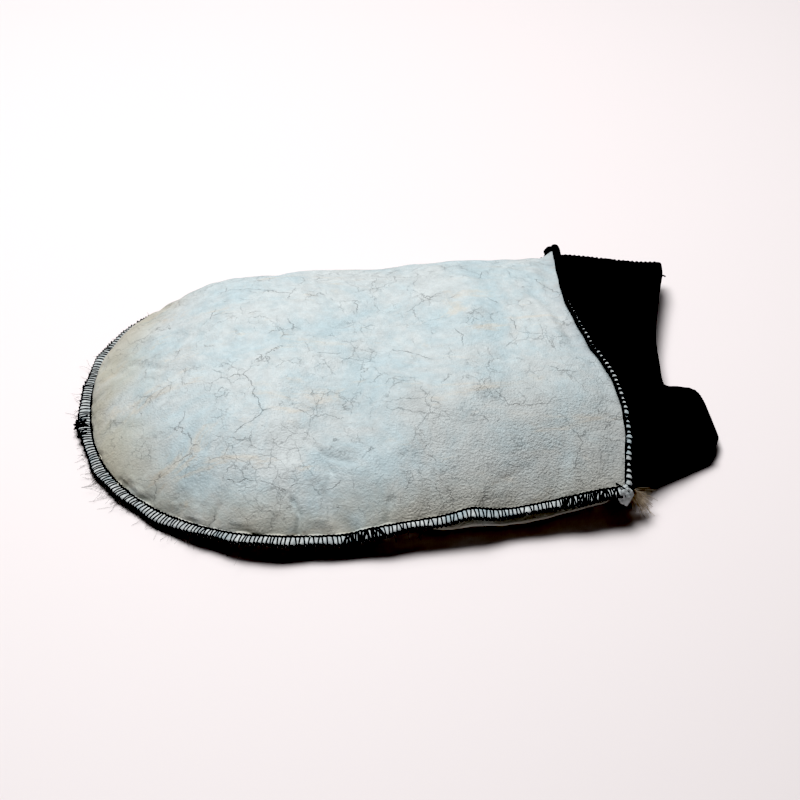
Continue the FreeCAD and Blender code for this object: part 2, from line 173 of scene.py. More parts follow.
# ---- the outline: w runs 0 to 1 on the far side, 1 to 2 round the tip and 2 to 3 on the near side ----
def plan(w, k, inset):
    """x and y of the point at w, k of the way from the spine to the outline inset by inset."""
    w, k = np.broadcast_arrays(np.asarray(w, float), np.asarray(k, float))
    far, near = w < 1, w > 2
    t = np.where(far, 1 - w, np.where(near, w - 2, 0.0))
    side = np.where(near, -1.0, 1.0)
    half = HALF_WIDTH + (HALF_WIDTH_WRIST - HALF_WIDTH) * ease(t) - inset
    y_side = side * half * k
    x_side = CENTRE_X + (wrist_x(y_side) - CENTRE_X) * t
    a = np.clip(w - 1, 0, 1) * math.pi
    c, s = np.cos(a), np.sin(a)
    x_tip = CENTRE_X - (TIP_LENGTH - inset) * np.abs(s) ** (2 / TIP_POWER) * k
    y_tip = (HALF_WIDTH - inset) * np.sign(c) * np.abs(c) ** (2 / TIP_POWER) * k
    y_tip += TIP_LEAN * ease((LEAN_FROM - x_tip) / LEAN_SPAN)
    straight = far | near
    return np.where(straight, x_side, x_tip), np.where(straight, y_side, y_tip)


def outline_table():
    """Fine list of w and of the length along the outline, in millimetres."""
    w = np.linspace(0, 3, 12001)
    x, y = plan(w, 1.0, 0.0)
    length = np.concatenate([[0], np.cumsum(np.hypot(np.diff(x), np.diff(y)))])
    return w, length


OUTLINE_W, OUTLINE_S = outline_table()
OUTLINE_LENGTH = OUTLINE_S[-1]
JUT, JUT_AT, JUT_WIDTH = 1.3, OUTLINE_LENGTH / 2 + 3, 5.0  # where the flange sticks out at the tip


def w_at(s):
    return np.interp(s, OUTLINE_S, OUTLINE_W)


def flange_wave(s):
    """How far the seam's flange waves up and down."""
    return 0.45 * np.sin(s / 9.0 + 1.3 * np.sin(s / 23.0)) + 0.25 * np.sin(s / 4.1 + 2.0)


def seam_bump(x, y):
    """The flange lifts where it passes over a fold on the near side."""
    return BUMP * bell(x, BUMP_X, BUMP_WIDTH) * ease(-y / HALF_WIDTH)


def edge_jut(s):
    """How far the flange strays outwards."""
    return 0.3 * np.sin(s / 6.3 + 1.1) + 0.25 * np.sin(s / 2.9) + JUT * bell(s, JUT_AT, JUT_WIDTH)


def edge_point(s, out):
    """Point of the flange's middle layer at s, out millimetres inside its outer edge."""
    loose = np.clip(1 - out / FLANGE, 0, 1)
    x, y = plan(w_at(s), 1.0, out - edge_jut(s) * loose)
    z = seam_height(x, y) + seam_bump(x, y) + loose * (flange_wave(s) + EDGE_LIFT)
    return np.stack([x, y, z], -1)


# ---- meshes ----
def add(name, data):
    obj = bpy.data.objects.new(name, data)
    bpy.context.scene.collection.objects.link(obj)
    return obj


def unit(vectors, spare=0.0):
    return vectors / (np.linalg.norm(vectors, axis=1, keepdims=True) + spare)


def make_mesh(name, points, faces, smooth=True):
    mesh = bpy.data.meshes.new(name)
    mesh.from_pydata((np.asarray(points) * MM).tolist(), [], faces)
    mesh.update()
    if smooth:
        mesh.polygons.foreach_set("use_smooth", [True] * len(mesh.polygons))
    return add(name, mesh)


def grid_faces(rows, columns, close_columns=False, close_rows=False, first=0, flip=False):
    r = np.arange(rows if close_rows else rows - 1)
    c = np.arange(columns if close_columns else columns - 1)
    r, c = np.meshgrid(r, c, indexing="ij")
    r2, c2 = (r + 1) % rows, (c + 1) % columns
    corners = [r * columns + c, r2 * columns + c, r2 * columns + c2, r * columns + c2]
    quads = np.stack(corners, -1).reshape(-1, 4)
    if flip:
        quads = quads[:, ::-1]
    return (quads + first).tolist()


def grid_mesh(name, grid, **close):
    rows, columns = grid.shape[:2]
    return make_mesh(name, grid.reshape(-1, 3), grid_faces(rows, columns, **close))


def apply_modifiers(obj):
    depsgraph = bpy.context.evaluated_depsgraph_get()
    mesh = bpy.data.meshes.new_from_object(obj.evaluated_get(depsgraph))
    obj.modifiers.clear()
    obj.data = mesh
    return obj


def thicken(obj, thickness, offset):
    solidify = obj.modifiers.new("thickness", "SOLIDIFY")
    solidify.thickness = thickness * MM
    solidify.offset = offset
    return apply_modifiers(obj)


def store(obj, name, values):
    attribute = obj.data.attributes.new(name, "FLOAT", "POINT")
    attribute.data.foreach_set("value", np.asarray(values, np.float32).ravel())


def tubes(name, paths, radius, sides=6):
    """One mesh of round tubes along polylines; radius is a number or one number per path point."""
    points, faces = [], []
    angles = np.arange(sides) * 2 * math.pi / sides
    for path in paths:
        path = np.asarray(path, float)
        tangent = unit(np.gradient(path, axis=0), 1e-12)
        normal = np.cross(tangent[0], [0.0, 0.0, 1.0])
        if np.linalg.norm(normal) < 1e-3:
            normal = np.array([1.0, 0.0, 0.0])
        normals = []
        for t in tangent:
            normal = normal - t * np.dot(normal, t)
            normal /= np.linalg.norm(normal) + 1e-12
            normals.append(normal)
        normals = np.array(normals)
        sideways = np.cross(tangent, normals)
        r = np.broadcast_to(np.asarray(radius, float), (len(path),))[:, None, None]
        ring = normals[:, None] * np.cos(angles)[:, None] + sideways[:, None] * np.sin(angles)[:, None]
        first = sum(len(p) for p in points)
        points.append((path[:, None] + ring * r).reshape(-1, 3))
        faces += grid_faces(len(path), sides, close_columns=True, first=first)
        last = first + (len(path) - 1) * sides
        faces.append(list(range(first, first + sides)))
        faces.append(list(range(last + sides - 1, last - 1, -1)))
    return make_mesh(name, np.concatenate(points), faces)


# ---- hides ----
def columns_of(count):
    """w and length along the outline of count columns, the near half mirroring the far one."""
    middle = np.interp(1.5, OUTLINE_W, OUTLINE_S)
    far = w_at(np.linspace(0, middle, count // 2 + 1))
    w = np.concatenate([far, 3 - far[-2::-1]])
    return w, np.interp(w, OUTLINE_W, OUTLINE_S)


def fan(rows, columns):
    """w, k and length along the outline of a fan of points from the spine to the dome's edge."""
    w, s = columns_of(columns)
    k = 1 - (1 - np.linspace(0, 1, rows)) ** 1.5
    k = np.broadcast_to(k[:, None], (rows, len(w)))
    return np.broadcast_to(w, k.shape), k, np.broadcast_to(s, k.shape)


def puff(k, power=0.6):
    """Height of a filled dome, 1 on the spine and 0 at its edge."""
    return (1 - np.clip(k, 0, 1) ** 3) ** power


def crease(x, y, points, width, depth):
    """A valley along a polyline."""
    deepest = np.zeros(x.shape)
    for (x0, y0), (x1, y1) in zip(points, points[1:]):
        dx, dy = x1 - x0, y1 - y0
        t = np.clip(((x - x0) * dx + (y - y0) * dy) / (dx * dx + dy * dy), 0, 1)
        away = np.hypot(x - x0 - t * dx, y - y0 - t * dy)
        deepest = np.maximum(deepest, bell(away, 0.0, width))
    return -depth * deepest


# course, width and depth of each
TOP_CREASES = [
    ([(-44, -77), (-43, -71), (-45, -66)], 0.9, 1.3),
    ([(-74, -68), (-71, -62)], 0.9, 0.8),
    ([(-12, -78), (-10, -70)], 1.2, 1.0),
    ([(-38, -44), (-30, -52), (-22, -55)], 1.1, 0.6),
    ([(-30, -58), (-33, -50)], 0.9, 0.6),
    ([(22, -76), (30, -66), (42, -62)], 1.6, 0.3),
    ([(50, -72), (56, -60), (58, -48)], 2.0, 0.25),
    ([(81, -47), (73, -43)], 0.8, 0.7),
    ([(81, -39), (74, -36)], 0.7, 0.5),
    ([(81, -54), (75, -52)], 0.7, 0.5),
    ([(-100, 20), (-88, 8)], 1.6, 0.7),
    ([(60, 30), (66, 12), (70, -2)], 2.5, 0.9),
]


def top_surface(w, k, s):
    x, y = plan(w, k, FLANGE)
    to_wrist = wrist_x(y) - x
    crown = CROWN * (1 - WRIST_FALL * ease(1 - to_wrist / WRIST_REACH))
    seam, level = seam_height(x, y), between(NEAR_LEVEL, FAR_LEVEL, x, y)
    inside = puff(k, FULL_NEAR + (FULL_FAR - FULL_NEAR) * across(y))
    z = seam + seam_bump(x, y) * k**6 + (level - seam + crown) * inside
    z += puff(k) * sum(height * ripples(x, y, wavelength, seed) for height, wavelength, seed in HILLS)
    strength = 0.5 + 0.5 * np.sin(s / 17.0 + 1.7 * np.sin(s / 31.0))
    pucker = np.exp(-((1 - k) * DOME_HALF / 8.0)) * strength
    z += 0.5 * pucker * np.sin(s / 1.9 + 3.1 * np.sin(s / 13.0)) * np.clip(puff(k) * 3, 0, 1)
    for points, width, depth in TOP_CREASES:
        z += crease(x, y, points, width, depth)
    z -= GROOVE * bell(to_wrist, GROOVE_AT, GROOVE_WIDTH) * puff(k)
    z += LIP * ease(1 - to_wrist / LIP_WIDTH) * puff(k)
    return np.stack([x, y, z], -1)


def flange_rows(columns, layer):
    """The hide's edge inside the seam: layer is 1 for the top hide and -1 for the bottom one."""
    _, s = columns_of(columns)
    rows = []
    for out in (3.6, 2.6, 1.4):
        point = edge_point(s, out)
        point[:, 2] += layer * HIDE / 2
        rows.append(point)
    return np.stack(rows)


def relax(surface, rows, columns, outward, name):
    """How a hide's points move as a cloth that is pinned at its edges, a little too large, and inflated."""
    w, k, s = fan(rows, columns)
    start = surface(w, k, s)
    obj = weld(grid_mesh(name, start, flip=outward < 0))
    rest = read_points(obj)
    tree = tree_of(start.reshape(-1, 3))
    edge = np.zeros(w.shape, bool)
    edge[-1], edge[:, 0], edge[:, -1] = True, True, True
    pinned = [i for i, point in enumerate(rest) if edge.ravel()[tree.find(point)[1]]]
    obj.vertex_groups.new(name="pinned").add(pinned, 1.0, "REPLACE")
    cloth = obj.modifiers.new("cloth", "CLOTH")
    for key, value in CLOTH.items():
        setattr(cloth.settings, key, value)
    cloth.settings.effector_weights.gravity = 0.0
    cloth.collision_settings.use_collision = False
    scene = bpy.context.scene
    for number in range(1, CLOTH_FRAMES + 1):
        scene.frame_set(number)
    moved = read_points(apply_modifiers(obj)) - rest
    scene.frame_set(1)
    bpy.data.objects.remove(obj)
    length = np.linalg.norm(moved, axis=1, keepdims=True)
    moved *= CLOTH_CAP * np.tanh(length / CLOTH_CAP) / (length + 1e-9)
    tree = tree_of(rest)
    found = [tree.find(point)[1] for point in start.reshape(-1, 3)]
    return moved[found].reshape(start.shape)


def read_points(obj):
    co = np.empty(len(obj.data.vertices) * 3, np.float32)
    obj.data.vertices.foreach_get("co", co)
    return co.reshape(-1, 3).astype(float) / MM


def tree_of(points):
    tree = kdtree.KDTree(len(points))
    for i, point in enumerate(points):
        tree.insert(point, i)
    tree.balance()
    return tree


def refine(field, rows, columns):
    """A grid of vectors read at more rows and columns."""
    r = np.linspace(0, field.shape[0] - 1, rows)
    c = np.linspace(0, field.shape[1] - 1, columns)
    i, j = np.minimum(r.astype(int), field.shape[0] - 2), np.minimum(c.astype(int), field.shape[1] - 2)
    u, v = ease(r - i)[:, None, None], ease(c - j)[None, :, None]
    low = field[i][:, j] * (1 - v) + field[i][:, j + 1] * v
    high = field[i + 1][:, j] * (1 - v) + field[i + 1][:, j + 1] * v
    return low * (1 - u) + high * u


def relaxed(surface, w, k, s, outward, name):
    """A hide's surface with the wrinkles that it takes as a cloth."""
    grid = surface(w, k, s)
    moved = relax(surface, CLOTH_ROWS, CLOTH_COLUMNS, outward, name)
    swell = CLOTH_SWELL * outward * np.array([0, 0, 1.0])
    moved = moved - swell * puff(fan(CLOTH_ROWS, CLOTH_COLUMNS)[1])[..., None]
    share = CLOTH_WRIST + (CLOTH_TIP - CLOTH_WRIST) * ease((CLOTH_FADE_X - grid[..., :1]) / CLOTH_FADE)
    return grid + share * refine(moved, *w.shape)


def bottom_surface(w, k, s):
    x, y = plan(w, k, FLANGE)
    seam = seam_height(x, y) + seam_bump(x, y) * k**6
    to_wrist = wrist_x(y) - x
    belly = BELLY + BELLY_RISE * ease(1 - to_wrist / BELLY_REACH)
    fullness = 0.9 + 1.5 * ease((8 - x) / 34.0) * ease(0.5 - y / 60.0)
    z = seam - (seam - belly) * puff(k) ** fullness
    z += puff(k) * 0.35 * ripples(x, y, 21, 31)
    pucker = np.exp(-((1 - k) * DOME_HALF / 7.0))
    z += 0.45 * pucker * np.sin(s / 1.7 + 2.0 * np.sin(s / 9.0)) * puff(k)
    z = np.where(z < 0.6, TABLE_GAP + 0.25 * np.exp((z - 0.6) / 0.8), z)
    depth = (1 - k) * DOME_HALF / ROLL_DEPTH
    roll = ROLL * depth * np.exp(1 - depth) * ease((x + 12) / 30.0) * ease((76 - x) / 9.0)
    roll = roll * ease(0.5 - y / 60.0)
    return np.stack([x, y - roll, z], -1)


def make_hide(name, surface, size, layer):
    """A whole hide; layer is 1 for the top hide and -1 for the bottom one."""
    w, k, s = fan(*size)
    grid = relaxed(surface, w, k, s, layer, name + "_cloth")
    grid[..., 2] = np.maximum(grid[..., 2], TABLE_GAP)
    grid = np.concatenate([grid, flange_rows(w.shape[1], layer)])
    obj = weld(grid_mesh(name, grid, flip=layer < 0))
    store(obj, "edge", edge_values(obj))
    store(obj, "wrist", wrist_values(obj))
    return thicken(obj, HIDE, -1)


def make_top_hide():
    return make_hide("hide_top", top_surface, TOP_GRID, 1)


def make_bottom_hide():
    return make_hide("hide_bottom", bottom_surface, BOTTOM_GRID, -1)


def weld(obj, distance=0.02):
    """Joins the points that the far and near halves share on the spine."""
    modifier = obj.modifiers.new("weld", "WELD")
    modifier.merge_threshold = distance * MM
    return apply_modifiers(obj)


def edge_values(obj):
    """0 in the middle of the mitt, 1 at its outline."""
    x, y, _ = read_points(obj).T
    along = np.clip((CENTRE_X - x) / TIP_LENGTH, 0, None)
    return (along**TIP_POWER + (np.abs(y) / HALF_WIDTH) ** TIP_POWER) ** (1 / TIP_POWER)


def wrist_values(obj):
    """1 at the wrist seam, falling off over some millimetres."""
    x, y, _ = read_points(obj).T
    return np.exp(-np.clip(wrist_x(y) - x, 0, None) / 4.5)


# ---- wool ----
WOOL_SHARE = 0.92  # how far out under the dome the wool reaches
WOOL_SINK = 3.6  # from the dome's surface to the wool's outer face
WOOL_SHORT = 4.5  # how far the wool stops short of the wrist
CAVITY = {1: 5.0, -1: 2.6}  # height of the hand cavity in the top and in the bottom wool


def wool_surfaces(layer, rows=44, columns=281):
    """Outer and cavity faces of a panel's wool; layer is 1 for the top panel and -1 for the bottom one."""
    w, k, s = fan(rows, columns)
    outer = (top_surface if layer > 0 else bottom_surface)(w, k * WOOL_SHARE, s)
    outer[..., 2] -= layer * WOOL_SINK
    x, y = outer[..., 0], outer[..., 1]
    to_wrist = np.where(w < 1, 1 - w, np.where(w > 2, w - 2, 0))
    outer[..., 0] -= WOOL_SHORT * to_wrist**6
    inside = np.clip(k / 0.86, 0, 1)
    face = seam_height(x, y) + layer * CAVITY[layer] * puff(inside)
    cavity = np.stack([outer[..., 0], y, face], -1)
    locks = 0.9 * ripples(x, y, 7.0, 61 + layer) + 0.5 * ripples(x, y, 3.2, 71 + layer)
    cavity[..., 2] += layer * (0.5 + locks * puff(inside))
    limit = outer[..., 2] - layer * 1.2
    cavity[..., 2] = np.minimum(cavity[..., 2], limit) if layer > 0 else np.maximum(cavity[..., 2], limit)
    return outer, cavity


def make_wool(name, layer):
    outer, cavity = wool_surfaces(layer)
    rows, columns = outer.shape[:2]
    grid = np.concatenate([outer, cavity[::-1]])
    faces = grid_faces(2 * rows, columns, flip=layer > 0)
    last = 2 * rows - 1
    for i in range(rows - 1):
        near = [i * columns, (i + 1) * columns, (last - i - 1) * columns, (last - i) * columns]
        far = [v + columns - 1 for v in reversed(near)]
        faces += [near, far] if layer > 0 else [near[::-1], far[::-1]]
    return weld(make_mesh(name, grid.reshape(-1, 3), faces))


# ---- edge seam ----
LEDGE = 1.05  # half thickness of the two hides' edges where the threads squeeze them
PAD = 0.22  # how far the leather bulges between two rungs
PINCH = 0.2  # how far a rung pulls the leather in


def rung_positions():
    """Lengths along the outline of the upper looper's rungs, unevenly two to a stitch."""
    rng = np.random.default_rng(11)
    gaps = STITCH / 2 * np.clip(1 + rng.normal(0, 0.2, int(OUTLINE_LENGTH / STITCH * 2) + 1), 0.55, 1.6)
    lengths = np.cumsum(gaps)
    return lengths[lengths < OUTLINE_LENGTH - 1.0]


def between_rungs(s, rungs):
    """0 on a rung, 1 midway between two."""
    i = np.clip(np.searchsorted(rungs, s), 1, len(rungs) - 1)
    part = np.clip((s - rungs[i - 1]) / (rungs[i] - rungs[i - 1]), 0, 1)
    return np.sqrt(np.abs(np.sin(math.pi * part)))


def edge_section(s, a, rungs):
    """Point of the sewn edge at s and at angle a round its section, 0 outermost and pi innermost."""
    pad = PAD * between_rungs(s, rungs)
    middle, half = FLANGE / 2, FLANGE / 2 - 0.05
    c, n = np.cos(a), np.sin(a)
    out = middle - (half + pad * 0.4) * np.sign(c) * np.abs(c) ** 0.8
    point = edge_point(s, out)
    point[..., 2] += (LEDGE - PINCH + pad) * np.sign(n) * np.abs(n) ** 0.7
    return point


def make_sewn_edge():
    """The two hides' edges under the overlock, pinched by each rung and swelling between them."""
    rungs = rung_positions()
    s = np.linspace(0, OUTLINE_LENGTH, 2600)
    angles = np.linspace(0, 2 * math.pi, 17)[:-1]
    grid = np.stack([edge_section(s, np.full(s.shape, a), rungs) for a in angles], 1)
    faces = grid_faces(len(s), len(angles), close_columns=True)
    start, end = range(len(angles)), range(len(angles), 0, -1)
    faces += [list(start)[::-1], [len(s) * len(angles) - i for i in end]]
    return make_mesh("hide_sewn_edge", grid.reshape(-1, 3), faces)


def rung_path(s, slant, layer, start, end):
    """One crossing of the flange by a looper, from start to end millimetres inside the outer edge."""
    t = np.linspace(0, 1, 9)
    out = start + (end - start) * t
    point = edge_point(s + slant * (t - 0.5), out)
    bow = np.clip(1 - np.abs(2 * (out - FLANGE / 2) / FLANGE), 0, 1) ** 0.35
    point[:, 2] += layer * ((LEDGE - PINCH) * bow + THREAD)
    return point


def edge_rungs(layer, rungs):
    rng = np.random.default_rng(20 + layer)
    paths = []
    for i, s in enumerate(rungs):
        slant = 0.3 * (-1) ** i + rng.normal(0, 0.25)
        paths.append(rung_path(s, slant, layer, -0.15, FLANGE - 0.35 + rng.normal(0, 0.12)))
    return paths


def along_rungs(rungs, steps, seed, spread):
    """Rungs passed, s and an uneven sway, at that many steps to a rung."""
    places = np.arange(len(rungs))
    knots = np.arange(0, len(rungs), 1 / steps)
    sway = np.random.default_rng(seed).normal(0, spread, len(rungs))
    return knots, np.interp(knots, places, rungs), np.interp(knots, places, sway)


def edge_purl(rungs):
    """The loops that lock the two looper threads along the outer edge, one round each rung's end."""
    knots, s, swing = along_rungs(rungs, 10, 31, 0.16)
    turn = 2 * math.pi * knots
    point = edge_point(s, -0.22 - 0.16 * np.cos(turn) - swing)
    point[:, 2] += 0.62 * np.sin(turn) + 0.4 * swing
    return point


def edge_needle(rungs):
    """The needle's line along the dome's foot, dipping into the leather at each stitch."""
    knots, s, sway = along_rungs(rungs, 8, 41, 0.1)
    turn = math.pi * knots
    point = edge_point(s, FLANGE - 0.28 + 0.16 * np.sin(turn * 2) + sway)
    point[:, 2] += 1.0 + 0.14 * np.abs(np.sin(turn))
    return point


def make_edge_threads():
    rungs = rung_positions()
    upper = tubes("edge_upper_looper", [*edge_rungs(1, rungs), edge_purl(rungs)], THREAD)
    lower = tubes("edge_lower_looper", edge_rungs(-1, rungs + STITCH / 4), THREAD)
    needle = tubes("edge_needle", [edge_needle(rungs)], THREAD * 1.3)
    return upper, lower, needle


# first x, last x and number of stitches where the seam overlaps its start, and where it ends at the wrist;
# the latter are packed densely black as painted shade under the dome's overhang
FINISH, WRIST_END_SHADE = (-27.5, -14.5, 22), (52, 72, 26)
SNAG_STITCHES, SNAG_SPREAD = 16, 3.2  # loose stitches where the flange sticks out at the tip


def make_tack():
    """Stitches of the seam's finish over its start, of its end at the wrist, packed densely black as painted
    shade under the dome's overhang, and of the snag at the tip.
    """
    w = np.linspace(2, 3, 3001)
    s_of_x = np.interp(w, OUTLINE_W, OUTLINE_S)
    x_of_w = plan(w, 1.0, 0.0)[0]
    rng = np.random.default_rng(5)
    paths = []
    # The stitches at the wrist end are packed densely black as painted shade under the dome's overhang.
    for i, x in enumerate([*np.linspace(*FINISH), *np.linspace(*WRIST_END_SHADE)]):
        s = np.interp(x, x_of_w, s_of_x) + rng.normal(0, 0.25)
        point = rung_path(s, rng.normal(0, 1.6), 1, FLANGE - 0.2 + rng.normal(0, 0.15), -0.35)
        point[:, 2] += 0.12 + 0.14 * (i % 3)
        paths.append(point)
    for s in JUT_AT + rng.normal(0, SNAG_SPREAD, SNAG_STITCHES):
        slant, start, end = rng.normal(0, 1.8), 1.9 + rng.normal(0, 0.5), -1.1 + rng.normal(0, 0.3)
        paths.append(rung_path(s, slant, 1, start, end))
    return tubes("edge_tack", paths, THREAD * 1.1)


# ---- wrist seam ----
def wrist_line(n):
    """The wrist seam's line over the top hide, from the near corner to the far one."""
    w = np.concatenate([np.full(n, 3.0), np.full(n, 0.0)])
    k = np.concatenate([np.linspace(1, 0, n), np.linspace(0, 1, n)])
    point = top_surface(w, k, np.where(w > 1, OUTLINE_LENGTH, 0.0))
    keep = np.ones(len(point), bool)
    keep[n] = False
    return point[keep]


def resample(path, step):
    length = np.concatenate([[0], np.cumsum(np.linalg.norm(np.diff(path, axis=0), axis=1))])
    s = np.arange(0, length[-1], step)
    return np.stack([np.interp(s, length, path[:, i]) for i in range(3)], -1), s


def smooth_path(path, passes):
    for _ in range(passes):
        path = np.concatenate([path[:1], (path[:-2] + 2 * path[1:-1] + path[2:]) / 4, path[-1:]])
    return path


def wrist_ridge():
    """Centre line of the wrist seam's ridge, with the directions up and towards the cuff."""
    path, s = resample(wrist_line(160), 0.15)
    path = smooth_path(path, 60)
    tangent = unit(np.gradient(path, axis=0))
    cuffward = np.cross(tangent, [0.0, 0.0, 1.0])
    cuffward = unit(cuffward * np.sign(cuffward[:, :1]))
    up = np.cross(cuffward, tangent)
    up *= np.sign(up[:, 2:])
    return path, s, up, cuffward


WRIST_STITCH = 2.3
# share of the wrist seam, from the near corner, and size of its beads there
BEAD_SIZES = [(0, 1.15), (0.12, 1.1), (0.25, 0.85), (0.5, 0.66), (0.65, 0.42), (0.8, 0.6), (0.9, 0.55),
              (1, 0.3)]


def make_wrist_edge():
    """The hide's turned-out edge, squeezed into uneven beads by the wrist seam's thread."""
    path, s, up, cuffward = wrist_ridge()
    rng = np.random.default_rng(13)
    stitches = np.arange(0, s[-1] + WRIST_STITCH, WRIST_STITCH)
    size = np.interp(s, stitches, rng.uniform(0.5, 1.15, len(stitches)))
    beads = 0.36 * np.abs(np.sin(math.pi * s / WRIST_STITCH)) ** 0.6
    size *= np.interp(s / s[-1], *zip(*BEAD_SIZES))
    centre = path + up * 0.8 + cuffward * 0.35
    return tubes("hide_wrist_edge", [centre], (0.62 + beads) * size, sides=10)


def wrist_helix(phase, radius, part):
    """Thread wound round the wrist's ridge; part is the share of the seam it covers, from near to far."""
    path, s, up, cuffward = wrist_ridge()
    a = 2 * math.pi * s / WRIST_STITCH + phase
    wobble = 0.12 * np.sin(s / 3.3 + phase)
    point = path + up * (0.8 + (radius + wobble) * np.sin(a))[:, None]
    point += cuffward * (0.45 + (radius + 0.2) * np.cos(a))[:, None]
    low, high = part
    chosen = (s >= low * s[-1]) & (s <= high * s[-1])
    return point[chosen]


def make_wrist_threads():
    turns = [wrist_helix(0.2, 0.95, (0, 1)), wrist_helix(0.9, 1.0, (0.35, 1))]
    upper = tubes("wrist_upper_looper", turns, THREAD * 1.25)
    path, s, up, cuffward = wrist_ridge()
    locks = path + cuffward * (1.55 + 0.2 * np.sin(2 * math.pi * s / WRIST_STITCH))[:, None]
    locks += up * (0.55 + 0.3 * np.cos(2 * math.pi * s / WRIST_STITCH))[:, None]
    far_turns = wrist_helix(2.1, 1.0, (0.62, 0.95))
    lower = tubes("wrist_lower_looper", [locks, far_turns], THREAD * 1.3)
    line = path - cuffward * (0.75 + 0.1 * np.sin(s / 2.1))[:, None]
    line += up * (0.25 + 0.16 * np.sin(2 * math.pi * s / WRIST_STITCH))[:, None]
    needle = tubes("wrist_needle", [line], THREAD * 1.35)
    return upper, lower, needle


def lump(name, centre, half, seed, rough):
    """A small crumpled mass: an uneven ball."""
    down, around = np.linspace(0, math.pi, 26), np.linspace(0, 2 * math.pi, 41)[:-1]
    a, b = np.meshgrid(down, around, indexing="ij")
    unit = np.stack([np.sin(a) * np.cos(b), np.sin(a) * np.sin(b), np.cos(a)], -1)
    x, y, z = unit[..., 0], unit[..., 1], unit[..., 2]
    folds = ripples(x * 3 + z, y * 3, 2.6, seed) + 0.5 * ripples(x * 5, y * 5 + z * 3, 2.2, seed + 1)
    swell = 1 + rough * folds
    grid = np.array(centre) + unit * swell[..., None] * np.array(half)
    return weld(grid_mesh(name, grid, close_columns=True))


def wound(axis_start, axis_end, radius, turns, seed):
    """Thread wound unevenly round a short line."""
    rng = np.random.default_rng(seed)
    t = np.linspace(0, 1, turns * 14)
    a0, a1 = np.array(axis_start, float), np.array(axis_end, float)
    way = (a1 - a0) / np.linalg.norm(a1 - a0)
    side = np.cross(way, [0, 0, 1.0])
    side /= np.linalg.norm(side)
    over = np.cross(side, way)
    turn = 2 * math.pi * turns * t
    uneven = 1 + 0.12 * np.sin(turn * 0.37 + rng.uniform(0, 6))
    size = radius * (0.75 + 0.35 * np.sin(math.pi * t)) * uneven
    drift = 0.5 * np.sin(turn * 0.23 + rng.uniform(0, 6))
    path = a0 + (a1 - a0) * t[:, None] + way * drift[:, None]
    return path + side * (size * np.cos(turn))[:, None] + over * (size * np.sin(turn))[:, None]


# where the wrist seam starts, at the near corner, and where it runs out, at the far one
NEAR_CORNER = np.array([75.4, -74.8, 12.2])
FAR_CORNER = np.array([75.2, 72.6, 20.4])


def make_near_corner():
    """The hides' corner, folded up small into the start of the wrist seam, and the thread over it."""
    fold = lump("hide_corner_fold", NEAR_CORNER, (2.9, 3.3, 3.4), 91, 0.15)
    over = [wound(NEAR_CORNER + [-1.5, 0.4, -1.2], NEAR_CORNER + [1.0, 2.8, 1.4], 3.3, 2, 7)]
    return fold, tubes("wrist_corner_thread", over, THREAD)


def make_far_corner():
    """The knob of knit and thread where the wrist seam runs out, and its chained tail."""
    knob = lump("cuff_corner_knob", FAR_CORNER, (2.0, 2.5, 1.9), 95, 0.07)
    strands = []
    start, end = FAR_CORNER + [-0.6, -2.6, -1.0], FAR_CORNER + [-0.2, 1.6, 0.3]
    for i in range(4):
        strands.append(wound(start, end, 1.7 + 0.15 * i, 5, 50 + i))
    t = np.linspace(0, 1, 24)[:, None]
    for i in range(3):
        phase = 9 * t + 2.1 * i
        tail = FAR_CORNER + [1.2, 0.4, -0.4] + t * [2.6, 0.8 - 0.5 * i, 0.6]
        tail = tail + [0, 0, 0.9] * np.sin(math.pi * t) ** 2
        strands.append(tail + 0.22 * np.concatenate([np.zeros_like(t), np.cos(phase), np.sin(phase)], 1))
    return knob, tubes("wrist_chain_tail_thread", strands, THREAD)


# ---- stray wool ----
# how many hairs there are round the tip, about where and how spread, then elsewhere and in the tuft
TIP_HAIRS, TIP_HAIRS_AT, TIP_HAIRS_SPREAD = 330, OUTLINE_LENGTH / 2 + 45, 34
OTHER_HAIRS, TUFT_HAIRS = 90, 150


def fibre(start, direction, length, rng, sag=0.35, bend=0.5):
    """A curling hair of wool from start."""
    t = np.linspace(0, 1, 7)[:, None]
    side = np.cross(direction, [0, 0, 1.0])
    swirl = rng.normal(0, bend, 3)
    turn = side * swirl[0] + np.array([0, 0, swirl[1] * 0.5])
    path = start + direction * length * t + turn * length * t**2
    path = path + side * 0.12 * length * swirl[2] * np.sin(5 * t)
    path[:, 2] -= sag * length * t[:, 0] ** 2
    path[:, 2] = np.maximum(path[:, 2], 0.25)
    return path


def make_stray_wool():
    """Hairs that work out through the edge seam, most of them round the tip and the near side of it."""
    rng = np.random.default_rng(77)
    paths = []
    places = list(rng.normal(TIP_HAIRS_AT, TIP_HAIRS_SPREAD, TIP_HAIRS))
    places += list(rng.uniform(2, OUTLINE_LENGTH - 2, OTHER_HAIRS))
    for s in places:
        edge, within = edge_point(np.array([s, s]), np.array([0.0, 3.0]))
        out = (edge - within) * [1, 1, 0]
        out /= np.linalg.norm(out)
        along = np.array([-out[1], out[0], 0])
        way = out * rng.uniform(0.3, 1.0) + along * rng.normal(0, 0.9)
        way = way + np.array([0, 0, rng.normal(-0.1, 0.3)])
        root = edge - out * 0.8 + [0, 0, rng.normal(-0.3, 0.5)]
        paths.append(fibre(root, way / np.linalg.norm(way), rng.gamma(2.0, 1.1) + 0.8, rng, bend=0.8))
    return tubes("stray_wool", paths, 0.035, sides=3)


def make_wool_tuft():
    """A lock of the pile that hangs out of the wrist seam beside the near corner."""
    rng = np.random.default_rng(78)
    paths = []
    for _ in range(TUFT_HAIRS):
        root = NEAR_CORNER + [2.6, 2.6, -1.0] + rng.normal(0, 0.75, 3)
        way = np.array([0.75, -0.10, -0.62]) + rng.normal(0, 0.20, 3)
        paths.append(fibre(root, way / np.linalg.norm(way), rng.uniform(4, 10.5), rng, sag=0.15, bend=0.35))
    return tubes("wool_tuft", paths, 0.07, sides=4)


